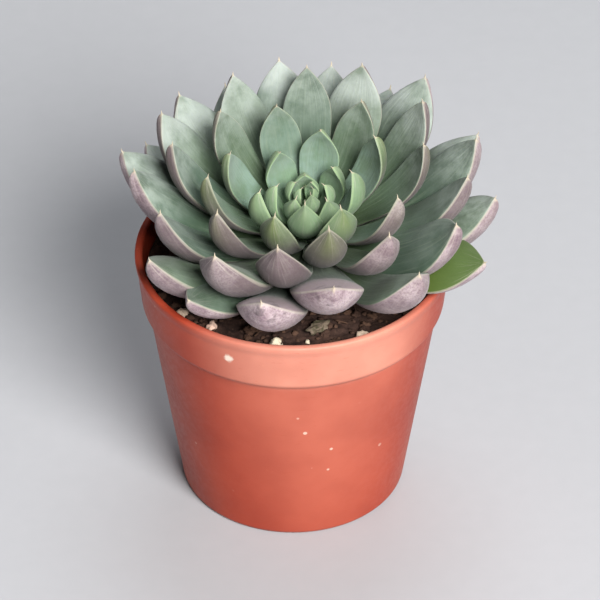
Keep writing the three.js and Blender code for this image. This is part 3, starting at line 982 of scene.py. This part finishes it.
def outline(along, tip_power):
    """Half width of a leaf along it, as a share of its greatest."""
    if along < WIDEST_AT:
        rise = math.sin(math.pi / 2 * along / WIDEST_AT)
        return ROOT_WIDTH + (1 - ROOT_WIDTH) * rise**ROOT_TAPER
    return 1 - min(1.0, (along - WIDEST_AT) / (1 - WIDEST_AT)) ** tip_power


def fullness(along, end):
    """Thickness of a leaf along it, as a share of its greatest."""
    if along < FULLEST_AT:
        return ROOT_FULLNESS + (1 - ROOT_FULLNESS) * (along / FULLEST_AT) ** ROOT_SWELL
    return math.sqrt(max(0.0, 1 - ((along - FULLEST_AT) / (end - FULLEST_AT)) ** 2))


def grown(n, pace, power):
    """Share of its full size that leaf number n has reached; n counts from the centre outwards."""
    return 1 - math.exp(-(((n + FIRST_GROWTH) / pace) ** power))


def raised(n):
    """Degrees above level of leaf number n; the bud's leaves stand up more towards its middle."""
    age = max(n, BUD_FROM) / FULL_AGE
    in_bud = max(0, BUD_FROM - n)
    return INNER_ANGLE - (INNER_ANGLE - OUTER_ANGLE) * age**ANGLE_POWER + BUD_STEP * in_bud


def leaf_at(n, draw):
    """The measures of leaf number n, in millimetres, and its angles."""
    age = max(0, n) / FULL_AGE
    old = max(0.0, (n - OLD_LEAF_FROM) / (FULL_AGE - OLD_LEAF_FROM))
    shrunk = 1 - OLD_LEAF_SHRINK * old**3
    unopened = max(0, -n)
    grown_length = grown(max(0, n), LENGTH_GROWTH, LENGTH_POWER) * (1 - BUD_SHORTER * unopened)
    length = LONGEST_LEAF * shrunk * grown_length
    broader = (OUTER_WIDTH - INNER_WIDTH) * float(smooth(n, BROADER_FROM, BROADER_TO))
    width = shrunk * (INNER_WIDTH * grown(n, WIDTH_GROWTH, WIDTH_POWER) + broader)
    straightened = (INNER_CURL - OUTER_CURL) * float(smooth(n, CURL_FROM, CURL_TO))
    blunter = (TIP_POWER - YOUNG_TIP_POWER) * float(smooth(n, BLUNTER_FROM, BLUNTER_TO))
    crowned = (YOUNG_HOLLOW + OLD_CROWN) * float(smooth(n, CROWN_FROM, CROWN_TO))
    aside, upwards, uncurled, *rolled = PUSHED.get(n, (0, 0, 0))
    azimuth = FIRST_AZIMUTH - n * GOLDEN_ANGLE + math.radians(aside)
    return {
        "n": n,
        "age": age,
        "azimuth": azimuth + STRAY["azimuth"] * draw(),
        "angle": raised(n) + upwards + STRAY["angle"] * draw(),
        "curl": INNER_CURL - straightened - uncurled,
        "length": length * (1 + STRAY["length"] * draw()),
        "width": width * (1 + STRAY["width"] * draw()),
        "roll": math.radians(sum(rolled)) + STRAY["roll"] * draw(),
        "tip_power": YOUNG_TIP_POWER + blunter,
        "crown": crowned - YOUNG_HOLLOW,
        "root_radius": ROOT_RADIUS * (INNER_ROOT * (1 - BUD_TAPER * unopened) + (1 - INNER_ROOT) * age),
        "root_height": ROOT_TOP + (ROOT_BOTTOM - ROOT_TOP) * age**ROOT_POWER + BUD_RISE * unopened,
    }


def thickness(leaf):
    return LEAST_THICKNESS + leaf["width"] * THICKNESS_RATIO


def turned_about(vector, axis, angle):
    c, s = math.cos(angle), math.sin(angle)
    return vector * c + np.cross(axis, vector) * s + axis * np.dot(axis, vector) * (1 - c)


def leaf_frame(leaf, along):
    """The leaf's middle, tangent, side and face direction at a place along it."""
    turn = math.radians(leaf["curl"])
    start = math.radians(leaf["angle"]) - turn * (1 - STRAIGHT_PART) / 2
    straight = leaf["length"] * min(along, STRAIGHT_PART)
    bend = leaf["length"] * (1 - STRAIGHT_PART) / turn
    slope = start + turn * max(0, along - STRAIGHT_PART) / (1 - STRAIGHT_PART)
    radius = leaf["root_radius"] + straight * math.cos(start) + bend * (math.sin(slope) - math.sin(start))
    height = leaf["root_height"] + straight * math.sin(start) - bend * (math.cos(slope) - math.cos(start))
    outward = np.array([math.cos(leaf["azimuth"]), math.sin(leaf["azimuth"]), 0.0])
    up = np.array([0.0, 0.0, 1.0])
    tangent = outward * math.cos(slope) + up * math.sin(slope)
    side = turned_about(np.cross(up, outward), tangent, leaf["roll"])
    return outward * radius + up * height, tangent, side, np.cross(tangent, side)


def is_clear(leaf):
    """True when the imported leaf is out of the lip, the wall and the soil."""
    inner = inside_radius(POT_HEIGHT) - LIP_CLEARANCE
    soil = soil_top + CRUMB_RELIEF + GAP
    along = FIRST_CHECK
    while along < 1:
        middle, _, side, face = leaf_frame(leaf, along)
        half = leaf["width"] / 2 * outline(along, leaf["tip_power"])
        thick = thickness(leaf) * fullness(along, TIP_FULLNESS_END)
        x, y = SHOULDER[0] * half, -SHOULDER[1] * thick
        ring = [(-half, 0), (-x, y), (0, -thick), (x, y), (half, 0)]
        for x, y, z in in_pot(np.array([middle + side * a + face * b for a, b in ring])):
            radius = math.hypot(x, y)
            lowest = POT_HEIGHT + LIP_CLEARANCE if radius > inner else soil
            if radius > ROOT_ZONE and z < lowest:
                return False
        along += CHECK_STEP
    return True


def leaf_stations(leaf):
    """Where along a leaf its rings of points lie, in millimetres; they are closest at the tip."""
    length = leaf["length"]
    body = length * BODY_END * np.linspace(0, 1, LEAF_RINGS) ** RING_SPACING
    before_tip = [length - k for k in RINGS_BEFORE_TIP]
    on_point = [length + POINT_LENGTH * k for k in RINGS_ON_POINT]
    return sorted(list(body) + before_tip) + on_point


def with_point(size, point):
    """A half width or thickness of the leaf, blended into the radius of its point."""
    return (size**POINT_BLEND + point**POINT_BLEND) ** (1 / POINT_BLEND)


def leaf_ring(leaf, station, turn):
    """The points of one ring, and how far inside the margin each of them lies."""
    length, n = leaf["length"], leaf["n"]
    along = station / length
    share = min(along, 1.0)
    full = fullness(share, 1.0)
    point = 0.0
    if station > length - POINT_REACH:
        left_over = (length + POINT_LENGTH - station) / (POINT_LENGTH + POINT_REACH)
        point = POINT_RADIUS * left_over**POINT_TAPER
    slender = point * min(1.0, leaf["width"] / FULL_POINT_WIDTH)
    half = with_point(leaf["width"] / 2 * outline(share, leaf["tip_power"]), slender)
    thick = with_point(thickness(leaf) * full, slender)

    # Across the ring: a keel below, and a crown or a hollow with rounded edges above
    across, rise = np.cos(turn), np.abs(np.sin(turn))
    left = 1 + EDGE_WAVE * noise_at(3 * along, 7.7 * n, 1.0)
    right = 1 + EDGE_WAVE * noise_at(3 * along, 7.7 * n, 9.0)
    x = half * across * np.where(across > 0, right, left)
    keel = KEEL + KEEL_GROWTH * float(smooth(along, 0.6, 0.95))
    crown = leaf["crown"] * half * full
    edges = EDGE_ROUND * thick * (rise - rise**2) + 0.5 * point * rise
    y = np.where(np.sin(turn) < 0, -thick * rise**keel, crown * rise**2 + edges)

    middle, _, side, face = leaf_frame(leaf, along)
    middle = middle + face * LEAF_WAVE * noise_at(2.2 * along, 5.1 * n, 0.0) * share
    if station > length:
        middle = middle + face * POINT_RISE * ((station - length) / POINT_LENGTH) ** 1.5
    return middle + np.outer(x, side) + np.outer(y, face), half - np.abs(x)


def flush_of(leaf):
    """1 on the oldest leaves that face the front, 0 on leaves that aren't flushed."""
    facing_front = smooth(-math.sin(leaf["azimuth"]), *FLUSHED_FRONT)
    return float(facing_front * smooth(leaf["n"], FLUSHED_FROM, FLUSHED_TO))


def add_leaf(builder, leaf):
    length, n = leaf["length"], leaf["n"]
    stations = leaf_stations(leaf)
    turn = np.linspace(0, 2 * math.pi, LEAF_SIDES, endpoint=False)
    rings, rims = zip(*[leaf_ring(leaf, station, turn) for station in stations])
    middle, tangent, _, face = leaf_frame(leaf, 1.0)
    tip = middle + tangent * POINT_LENGTH + face * POINT_RISE
    off_edge = 0.5 * smooth(np.abs(np.sin(turn)), 0.0, 0.25)
    under = np.where(np.sin(turn) < 0, 0.5 + off_edge, 0.5 - off_edge)
    along = [station / length for station in stations]
    builder.add(
        in_pot(np.concatenate([*rings, tip[None]])),
        ring_faces(len(stations), LEAF_SIDES),
        along=np.append(np.repeat(along, LEAF_SIDES), (length + POINT_LENGTH) / length),
        across=np.append(np.tile(np.cos(turn), len(stations)), 0.0),
        under=np.append(np.tile(under, len(stations)), 0.5),
        rim=np.append(np.concatenate(rims), 0.0),
        age=leaf["age"],
        tone=min(1.0, max(0.0, 0.5 + noise_at(3.7 * n, 0.4, 1.9))),
        fresh=float(n == FRESH_LEAF),
        flush=flush_of(leaf),
        sunny=SUNNY_LEAVES.get(n, 0.0),
    )


def make_rosette(material):
    rosette = Builder()
    profile = [
        (0, CORE_BOTTOM, 0),
        (STEM_RADIUS, CORE_BOTTOM, 0.6),
        (CORE_RADIUS, (CORE_BOTTOM + CORE_TOP) / 2, 1.5),
        (2 * SHOOT_RADIUS, CORE_TOP, 0.5),
        (SHOOT_RADIUS, SHOOT_TOP, 0.3),
        (0, SHOOT_TOP, 0),
    ]
    points, faces = lathe(rounded(profile), CORE_SIDES)
    core_values = dict.fromkeys(LEAF_VALUES, 0.0)
    core_values.update(rim=3.0, age=0.1, tone=0.5)
    rosette.add(in_pot(np.array(points)), faces, **core_values)
    draw = draws_from(LEAF_SEED)
    for n in range(YOUNGEST, OLDEST + 1):
        leaf = leaf_at(n, draw)
        if n in FALLEN:
            continue
        while not is_clear(leaf):
            leaf["angle"] += LIFT_STEP
        add_leaf(rosette, leaf)
    rosette.make("rosette_leaves", material, "rosette", "rosette")


# Stage
def make_stage():
    mesh = bpy.data.meshes.new("floor")
    corners = [(-1, -1), (1, -1), (1, 1), (-1, 1)]
    mesh.from_pydata([(FLOOR_REACH * x, FLOOR_REACH * y, 0) for x, y in corners], [], [(0, 1, 2, 3)])
    s = Shader("pale_floor")
    grain = s.noise(s.place(), 300, 3, 0.5)
    s.set("Base Color", s.mix(grain, srgb(168, 169, 173), srgb(172, 173, 177)))
    s.set("Roughness", 0.8)
    mesh.materials.append(s.material)
    floor = bpy.data.objects.new("floor", mesh)
    bpy.context.scene.collection.objects.link(floor)


def aimed(place, target):
    return (Vector(target) - Vector(place)).to_track_quat("-Z", "Y")


def make_lights():
    for name, (place, power, colour) in LIGHTS.items():
        light = bpy.data.lights.new(name, "AREA")
        light.shape = "DISK"
        light.size = LIGHT_SIZE
        light.energy = power
        light.color = colour
        lamp = bpy.data.objects.new(name, light)
        lamp.location = place
        lamp.rotation_mode = "QUATERNION"
        lamp.rotation_quaternion = aimed(place, LIGHT_TARGET)
        bpy.context.scene.collection.objects.link(lamp)
    world = bpy.data.worlds.new("soft_daylight")
    world.use_nodes = True
    background = world.node_tree.nodes["Background"]
    background.inputs["Color"].default_value = WORLD_COLOUR
    background.inputs["Strength"].default_value = WORLD_STRENGTH
    bpy.context.scene.world = world


def make_camera():
    data = bpy.data.cameras.new("camera")
    data.lens = CAMERA_LENS
    data.sensor_width = SENSOR_WIDTH
    data.clip_start = NEAREST
    camera = bpy.data.objects.new("camera", data)
    back = Vector((0, -math.cos(CAMERA_ELEVATION), math.sin(CAMERA_ELEVATION))) * CAMERA_DISTANCE
    camera.location = Vector(CAMERA_TARGET) + back
    camera.rotation_mode = "QUATERNION"
    camera.rotation_quaternion = aimed(camera.location, CAMERA_TARGET)
    bpy.context.scene.collection.objects.link(camera)
    bpy.context.scene.camera = camera


make_camera()
make_stage()
make_lights()
bpy.context.scene.view_settings.view_transform = "Standard"

soil_finish = soil_material()
grain_finish = grain_material()
make_pot(pot_material())
make_soil(soil_finish)
make_crumbs(soil_finish)
make_grains(grain_finish)
make_dry_leaf(dry_leaf_material())
make_stem(stem_material())
make_rosette(leaf_material())
